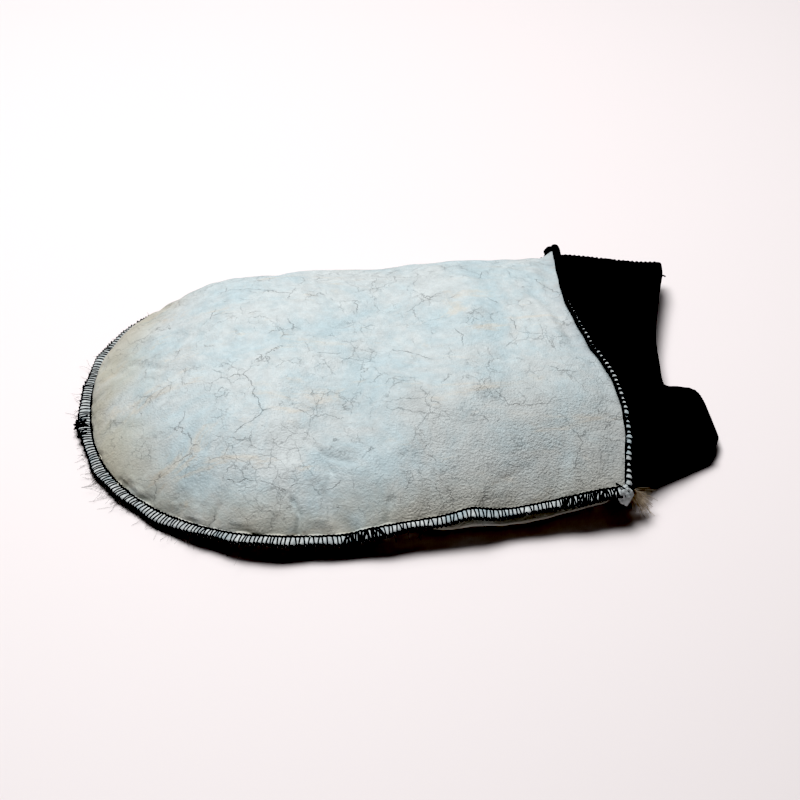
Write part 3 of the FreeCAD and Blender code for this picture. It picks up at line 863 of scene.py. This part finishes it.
# ---- cuff ----
MOUTH_X = CUFF_BOX[1][0] / MM
# the cuff's two rims, as x back from MOUTH_X across the palm; the lower one has a tongue on the near side
UPPER_RIM = [(-90, -6), (-50, -6), (-42, -7), (-34, -11), (-22, -15.5), (-8, -17), (5, -15.6), (18, -14),
             (38, -9), (53, -4.3), (64, -1), (72, 0), (90, 0)]
LOWER_RIM = [(-90, -14), (-54, -14), (-50, -11), (-47, -8), (-45, -5.6), (-42, -3.6), (-37, -1.8),
             (-28, -1.6), (-18, -2.0), (-13, -2.8), (-10, -4.2), (-8.6, -6.4), (-7.7, -9.4), (-7, -13.4),
             (-5, -16.4), (4, -17), (15, -16.4), (32, -13), (47, -8), (62, -2.4), (72, 0), (90, 0)]
RIB, RIB_DEPTH = 1.55, 0.45  # distance between ribs, and depth of the furrows between them
PLIES = 1.9  # from the cuff's outside to its inside
CUFF_POWER = 2.3  # superellipse power of the cuff's section
CUFF_HALF, MOUTH_HALF = 74.0, 2.6  # half width at the wrist, and half height at the mouth
CUFF_COLUMNS, ROWS_OUT, ROWS_IN = 1080, 72, 56
HEM_AT, HEM, INNER_END = 0.965, 0.9, 0.12  # where the mouth rounds off, by how much; where the inside ends


def cuff_column(count):
    """Angles round the flattened tube at even distances, and its girth."""
    a = np.linspace(0, 2 * math.pi, 2000)
    y, z = 66 * np.cos(a), 9 * np.sin(a)
    length = np.concatenate([[0], np.cumsum(np.hypot(np.diff(y), np.diff(z)))])
    return np.interp(np.linspace(0, length[-1], count + 1)[:-1], length, a), length[-1]


def cuff_ring_point(a, t, inset):
    """Point of the cuff's wall at angle a and t of the way from the wrist to its mouth."""
    c, s = np.cos(a), np.sin(a)
    power = 2 / CUFF_POWER
    far_fold = 73.9 - 1.9 * t
    near_fold = -73.0 + 11.0 * (1 - math.exp(-t / 0.09)) + 15.0 * t
    reach = (far_fold - near_fold) / 2 - inset * 0.6
    y = (far_fold + near_fold) / 2 + reach * np.sign(c) * np.abs(c) ** power
    over = s >= 0
    rim = np.where(over, curve(UPPER_RIM, y), curve(LOWER_RIM, y))
    start = wrist_x(y) + 1.2
    x = start + (MOUTH_X + rim - start) * t
    full = puff(np.abs(y) / CUFF_HALF)
    top_root = seam_height(start, y) + CROWN * (1 - WRIST_FALL) * full + 0.3
    low_root = np.maximum(seam_height(start, y) - 8.0 * full, 4.6)
    middle = 8.5 + 3.0 * ease(y / 60)
    droop = ease(t) ** 0.8
    top = top_root * (1 - droop) + (middle + MOUTH_HALF) * droop
    low = low_root * (1 - droop) + (middle - MOUTH_HALF - 3.4 * ease(-y / 30)) * droop
    share = np.abs(s) ** power
    centre = (top + low) / 2
    half = (top - low) / 2 - inset
    z = centre + np.sign(s) * half * share
    return x, y, z


def make_cuff():
    a, around = cuff_column(CUFF_COLUMNS)
    rib = np.abs(np.sin(math.pi * np.arange(CUFF_COLUMNS) / CUFF_COLUMNS * round(around / RIB)))
    rows = []
    for t in np.linspace(0, 1, ROWS_OUT):
        past = max(0.0, (t - HEM_AT) / 0.035)
        fold = HEM * (1 - math.sqrt(max(0.0, 1 - past**2)))
        x, y, z = cuff_ring_point(a, t, RIB_DEPTH * (1 - rib) + fold)
        z = z + 0.5 * ripples(x, y, 17, 44) * math.sin(math.pi * min(1, t * 1.2)) * np.sign(np.sin(a))
        rows.append(np.stack([x, y, z], -1))
    for t in np.linspace(0.985, INNER_END, ROWS_IN):
        x, y, z = cuff_ring_point(a, t, PLIES - 0.3 * rib)
        rows.append(np.stack([x, y, z], -1))
    return grid_mesh("cuff", np.stack(rows), close_columns=True)


def cuff_outside(a, t, proud):
    x, y, z = cuff_ring_point(np.asarray(a, float), t, -proud)
    return np.stack([x, y, z], -1)


def make_cuff_join():
    """Overcast stitches that close the cuff along its far fold, and a loose thread end at its mouth."""
    paths = []
    lean = np.linspace(-0.16, 0.16, 7)
    for t in np.arange(0.10, 0.95, 0.042):
        paths.append(np.stack([cuff_outside(0.03 + angle, t + 0.05 * angle, 0.12) for angle in lean]))
    end = cuff_outside(0.72, 0.995, 0.0)
    t = np.linspace(0, 1, 14)[:, None]
    paths.append(end + t * [1.7, 0.4, 0.2] + 0.3 * np.sin(5 * t) * [0, 0.5, 1])
    return tubes("cuff_join", paths, THREAD)


# ---- materials ----
class Nodes:
    """Short names for building a material's nodes."""

    def __init__(self, name):
        self.material = bpy.data.materials.new(name)
        self.material.use_nodes = True
        self.tree = self.material.node_tree
        self.bsdf = self.tree.nodes["Principled BSDF"]
        self.place = self.tree.nodes.new("ShaderNodeTexCoord").outputs["Object"]

    def node(self, kind, **settings):
        node = self.tree.nodes.new("ShaderNode" + kind)
        for key, value in settings.items():
            setattr(node, key, value)
        return node

    def link(self, a, b):
        self.tree.links.new(a, b)

    def put(self, socket, value):
        if isinstance(value, bpy.types.NodeSocket):
            self.link(value, socket)
        else:
            socket.default_value = value

    def scaled(self, scale, angle):
        mapping = self.node("Mapping")
        self.link(self.place, mapping.inputs["Vector"])
        mapping.inputs["Scale"].default_value = scale
        mapping.inputs["Rotation"].default_value = (0, 0, angle)
        return mapping.outputs["Vector"]

    def noise(self, wavelength, detail=3.0, rough=0.55, distort=0.0, stretch=None, angle=0.0, output="Fac"):
        """Noise of a wavelength in millimetres."""
        vector = self.scaled(stretch, angle) if stretch else self.place
        noise = self.node("TexNoise")
        self.link(vector, noise.inputs["Vector"])
        noise.inputs["Scale"].default_value = 1000.0 / wavelength
        noise.inputs["Detail"].default_value = detail
        noise.inputs["Roughness"].default_value = rough
        noise.inputs["Distortion"].default_value = distort
        return noise.outputs[output]

    def math(self, operation, a, b):
        node = self.node("Math", operation=operation)
        self.put(node.inputs[0], a)
        self.put(node.inputs[1], b)
        return node.outputs[0]

    def ramp(self, value, low, high, to_low=0.0, to_high=1.0):
        node = self.node("MapRange", interpolation_type="SMOOTHSTEP")
        self.put(node.inputs["Value"], value)
        for key, number in zip(("From Min", "From Max", "To Min", "To Max"), (low, high, to_low, to_high)):
            node.inputs[key].default_value = number
        return node.outputs[0]

    def mix(self, factor, a, b, blend="MIX"):
        node = self.node("Mix", data_type="RGBA", blend_type=blend)
        self.put(node.inputs[0], factor)
        self.put(node.inputs[6], a if isinstance(a, bpy.types.NodeSocket) else (*a, 1))
        self.put(node.inputs[7], b if isinstance(b, bpy.types.NodeSocket) else (*b, 1))
        return node.outputs[2]

    def attribute(self, name):
        return self.node("Attribute", attribute_name=name).outputs["Fac"]

    def shade(self, sockets):
        """Fills the shader's own sockets, with links for what varies and numbers for what doesn't."""
        for name, value in sockets.items():
            self.put(self.bsdf.inputs[name], value)
        return self.material

    def position(self):
        """x and y in metres."""
        node = self.node("SeparateXYZ")
        self.link(self.place, node.inputs[0])
        return node.outputs[0], node.outputs[1]

    def bump(self, height, distance, strength=1.0, normal=None):
        node = self.node("Bump")
        node.inputs["Strength"].default_value = strength
        node.inputs["Distance"].default_value = distance * MM
        self.link(height, node.inputs["Height"])
        if normal is not None:
            self.link(normal, node.inputs["Normal"])
        return node.outputs["Normal"]

    def cracks(self, cell, width, wander):
        """Thin wandering lines between cells of that size, 1 on a line."""
        shift = self.node("VectorMath", operation="SCALE")
        self.link(self.noise(cell * 0.55, 5.0, 0.66, output="Color"), shift.inputs[0])
        shift.inputs["Scale"].default_value = wander * MM
        moved = self.node("VectorMath", operation="ADD")
        self.link(self.place, moved.inputs[0])
        self.link(shift.outputs[0], moved.inputs[1])
        cells = self.node("TexVoronoi", feature="DISTANCE_TO_EDGE")
        self.link(moved.outputs[0], cells.inputs["Vector"])
        cells.inputs["Scale"].default_value = 1000.0 / cell
        return self.ramp(cells.outputs["Distance"], 0.0, width / cell, 1.0, 0.0)


def hide_material():
    n = Nodes("pale_blue_hide")
    blue, pale, cream = (0.46, 0.565, 0.60), (0.565, 0.61, 0.615), (0.64, 0.575, 0.48)
    grey, rim_shade_brown, seam_shade_grey = (0.30, 0.31, 0.30), (0.42, 0.37, 0.27), (0.25, 0.255, 0.275)
    stain, soil_and_shade, vein = (0.45, 0.42, 0.30), (0.25, 0.245, 0.22), (0.06, 0.065, 0.07)
    colour = n.mix(n.ramp(n.noise(30, 7, 0.7, 0.4), 0.34, 0.62), blue, pale)
    streaks = n.ramp(n.noise(24, 7, 0.72, 0.6, stretch=(0.55, 1.7, 1.0), angle=0.6), 0.54, 0.68)
    colour = n.mix(n.math("MULTIPLY", streaks, 0.55), colour, cream)
    mottle = n.ramp(n.noise(4.0, 7, 0.78), 0.3, 0.72, 0.84, 1.07)
    colour = n.mix(0.9, colour, combine(n, mottle), "MULTIPLY")
    # Browner and darker towards the outline: partly soiling, partly painted shade at the dome's foot beside
    # the seam.
    rim = n.math("MULTIPLY", n.ramp(n.attribute("edge"), 0.70, 1.0), n.ramp(n.noise(24, 5), 0.26, 0.56))
    colour = n.mix(n.math("MULTIPLY", rim, 0.68), colour, rim_shade_brown)
    grime = n.ramp(n.noise(19, 7, 0.75, 0.5), 0.50, 0.74)
    colour = n.mix(n.math("MULTIPLY", grime, 0.32), colour, grey)
    # Painted shade: a darker grey band along the wrist seam.
    wrist_seam_shade = n.math("MULTIPLY", n.attribute("wrist"), n.ramp(n.noise(9, 4), 0.3, 0.65, 0.3, 1.0))
    colour = n.mix(n.math("MULTIPLY", wrist_seam_shade, 0.6), colour, seam_shade_grey)
    x, y = n.position()
    stained = n.math("MULTIPLY", n.ramp(x, -0.082, -0.112), n.ramp(n.noise(22, 4), 0.36, 0.60, 0.2, 1.0))
    colour = n.mix(n.math("MULTIPLY", stained, 0.4), colour, stain)
    # Darker near side towards the wrist: partly soiling, partly painted shade of the near slope that faces
    # away from the light.
    wear_and_shade_zone = n.math("MULTIPLY", n.ramp(x, -0.060, 0.085), n.ramp(y, 0.010, -0.070))
    dirt_and_shade = n.math("MULTIPLY", wear_and_shade_zone, n.ramp(n.noise(30, 5, 0.6, 0.5), 0.22, 0.60, 0.35, 1.0))
    colour = n.mix(n.math("MULTIPLY", dirt_and_shade, 0.54), colour, soil_and_shade)
    lines = n.math("MULTIPLY", n.cracks(27, 0.24, 12), n.ramp(n.noise(13, 3), 0.50, 0.60, 0.0, 0.50))
    finer = n.cracks(13, 0.18, 8)
    finer = n.math("MULTIPLY", finer, n.ramp(n.noise(19, 3, 0.6, 0.3), 0.46, 0.62, 0.0, 0.38))
    finest = n.cracks(6, 0.16, 4)
    finest = n.math("MULTIPLY", finest, n.ramp(n.noise(16, 4, 0.65, 0.6), 0.48, 0.64, 0.0, 0.34))
    lines = n.math("MAXIMUM", n.math("MAXIMUM", lines, finer), finest)
    colour = n.mix(lines, colour, vein)
    roughness = n.ramp(n.noise(9, 4), 0.3, 0.7, 0.5, 0.7)
    normal = n.bump(n.noise(9.0, 5, 0.6, 0.8), 0.8, 0.6)
    normal = n.bump(n.noise(2.4, 2, 0.5), 0.07, 0.8, normal)
    grain = n.math("MULTIPLY", n.ramp(n.noise(40, 3), 0.3, 0.65, 0.6, 1.0), n.ramp(wear_and_shade_zone, 0.0, 0.8, 0.7, 1.6))
    normal = n.bump(n.math("MULTIPLY", n.noise(0.85, 2, 0.6), grain), 0.48, 1.0, normal)
    normal = n.bump(n.math("SUBTRACT", 1.0, lines), 0.3, 0.9, normal)
    return n.shade({"Base Color": colour, "Roughness": roughness, "Specular IOR Level": 0.4,
                    "Sheen Weight": 0.08, "Sheen Roughness": 0.5, "Normal": normal})


def edge_material():
    """The hides' sheared edges, paler and furrier than their faces."""
    n = Nodes("pale_hide_edge")
    colour = n.mix(n.ramp(n.noise(3.0, 5, 0.7), 0.32, 0.66), (0.33, 0.36, 0.37), (0.58, 0.61, 0.61))
    colour = n.mix(n.ramp(n.noise(14, 4), 0.5, 0.7, 0.0, 0.6), colour, (0.30, 0.40, 0.44))
    normal = n.bump(n.noise(0.8, 4, 0.7, 0.8), 0.35, 1.0)
    return n.shade({"Base Color": colour, "Roughness": 0.85, "Normal": normal})


def combine(n, value):
    node = n.node("CombineColor")
    for socket in node.inputs[:3]:
        n.link(value, socket)
    return node.outputs[0]


def wool_material():
    n = Nodes("cream_wool")
    colour = n.mix(n.ramp(n.noise(9, 5, 0.65, 1.0), 0.35, 0.65), (0.62, 0.52, 0.37), (0.80, 0.74, 0.61))
    colour = n.mix(n.ramp(n.noise(2.0, 4, 0.7, 2.0), 0.42, 0.62, 0.0, 0.5), colour, (0.40, 0.32, 0.21))
    curls = n.bump(n.noise(2.6, 6, 0.7, 2.5), 1.6, 1.0)
    return n.shade({"Base Color": colour, "Roughness": 0.95, "Sheen Weight": 0.35, "Sheen Roughness": 0.4,
                    "Normal": curls})


def fibre_material(name, wavelength, dark, light, roughness):
    n = Nodes(name)
    colour = n.mix(n.ramp(n.noise(wavelength, 3), 0.4, 0.6), dark, light)
    return n.shade({"Base Color": colour, "Roughness": roughness})


def hair_material():
    return fibre_material("dark_wool_hair", 6, (0.03, 0.028, 0.026), (0.12, 0.11, 0.10), 0.7)


def lock_material():
    return fibre_material("beige_wool_lock", 4, (0.30, 0.23, 0.16), (0.62, 0.54, 0.43), 0.8)


def thread_material():
    n = Nodes("black_thread")
    colour = n.mix(n.ramp(n.noise(1.2, 3), 0.35, 0.7), (0.002, 0.002, 0.003), (0.012, 0.012, 0.014))
    normal = n.bump(n.noise(0.35, 3), 0.1, 0.8)
    return n.shade({"Base Color": colour, "Roughness": 0.9, "Specular IOR Level": 0.15, "Normal": normal})


def knit_material():
    n = Nodes("black_rib_knit")
    colour = n.mix(n.ramp(n.noise(3, 5), 0.35, 0.7), (0.0008, 0.0008, 0.0009), (0.002, 0.002, 0.0023))
    normal = n.bump(n.noise(0.7, 4, 0.7), 0.3, 0.9)
    return n.shade({"Base Color": colour, "Roughness": 0.95, "Specular IOR Level": 0.04, "Normal": normal})


def floor_material():
    n = Nodes("pale_table")
    return n.shade({"Base Color": (0.79, 0.735, 0.74, 1), "Roughness": 0.6})


# ---- stage, light and camera ----
BLACK = 0.03  # light below this is black, as in a hard studio print
FLOOR_HALF = 3000  # millimetres
# place in metres, size and energy of each light
LIGHTS = {"key": ((-0.15, 0.25, 1.08), 0.55, 11.2), "top": ((-0.05, 0.42, 1.1), 0.9, 7.0)}
AMBIENT = 0.02
AZIMUTH, ELEVATION, DISTANCE, LENS = -7.25, 38.0, 0.8, 92.85  # of the camera: degrees, metres, millimetres


def make_stage():
    signs = [(-1, -1, 0), (1, -1, 0), (1, 1, 0), (-1, 1, 0)]
    floor = make_mesh("table_top", np.array(signs) * FLOOR_HALF, [[0, 1, 2, 3]], smooth=False)
    floor.data.materials.append(floor_material())


def area_light(name, place, size, energy):
    """A round light that shines on the mitt."""
    light = bpy.data.lights.new(name, "AREA")
    light.shape = "DISK"
    light.size = size
    light.energy = energy
    obj = add(name, light)
    obj.location = place
    aim(obj, (0, 0, 0))


def aim(obj, target):
    direction = obj.location - Vector(target)
    obj.rotation_euler = direction.to_track_quat("Z", "Y").to_euler()


def make_light():
    world = bpy.data.worlds.new("studio")
    world.use_nodes = True
    background = world.node_tree.nodes["Background"]
    background.inputs["Color"].default_value = (1.0, 1.0, 1.0, 1)
    background.inputs["Strength"].default_value = AMBIENT
    bpy.context.scene.world = world
    for name, (place, size, energy) in LIGHTS.items():
        area_light(name, place, size, energy)


def make_camera():
    azimuth, elevation = math.radians(AZIMUTH), math.radians(ELEVATION)
    target = (0.0016, -0.0060, 0.010)
    camera = bpy.data.cameras.new("camera")
    camera.lens = LENS
    camera.sensor_width = 36.0
    camera.clip_start = 0.01
    obj = add("camera", camera)
    level = math.cos(elevation)
    back = (math.sin(azimuth) * level, -math.cos(azimuth) * level, math.sin(elevation))
    obj.location = [t + DISTANCE * b for t, b in zip(target, back)]
    aim(obj, target)
    bpy.context.scene.camera = obj


def set_view():
    view = bpy.context.scene.view_settings
    view.view_transform = "Standard"
    view.use_curve_mapping = True
    view.curve_mapping.black_level = (BLACK, BLACK, BLACK)


# ---- putting it together ----
def dress(obj, material, slot, *nodes, body="mitt"):
    """Gives a piece its material, the body it rides on and the CAD nodes it stands for. The slot argument is
    not used.
    """
    obj.data.materials.clear()
    obj.data.materials.append(material)
    if body:
        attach(obj, body)
    if nodes:
        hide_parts(*nodes)


def across_wrist(obj):
    """Bakes the transform of a piece that crosses the wrist into its mesh."""
    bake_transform(obj)


def dress_seam(objs, material, seam):
    """Dresses a seam's two looper threads and its needle thread."""
    for part, obj in zip(("upper_looper", "lower_looper", "needle"), objs):
        dress(obj, material, "thread", f"{seam}_{part}_thread")


def main():
    hide, edge, thread, knit = hide_material(), edge_material(), thread_material(), knit_material()
    wool, hair, lock = wool_material(), hair_material(), lock_material()
    top, bottom = make_top_hide(), make_bottom_hide()
    dress(top, hide, "hide", "top_hide")
    dress(bottom, hide, "hide", "bottom_hide")
    dress(make_sewn_edge(), edge, "hide")
    dress(make_wool("wool_top", 1), wool, "wool", "top_wool")
    dress(make_wool("wool_bottom", -1), wool, "wool", "bottom_wool")
    dress_seam(make_edge_threads(), thread, "edge")
    dress(make_tack(), thread, "thread", "edge_seam_tack")
    dress(make_stray_wool(), hair, "wool")
    dress(make_wool_tuft(), lock, "wool")
    dress(make_wrist_edge(), edge, "hide")
    dress_seam(make_wrist_threads(), thread, "wrist")
    fold, corner = make_near_corner()
    dress(fold, edge, "hide")
    dress(corner, thread, "thread")
    knob, tail = make_far_corner()
    dress(knob, knit, "knit")
    dress(tail, thread, "thread", "wrist_chain_tail")
    cuff, join = make_cuff(), make_cuff_join()
    dress(cuff, knit, "knit", "rib_cuff", "cuff_sewn_edge", body=None)
    dress(join, thread, "thread", "cuff_join_thread", body=None)
    across_wrist(cuff)
    across_wrist(join)
    make_stage()
    make_light()
    make_camera()
    set_view()


main()
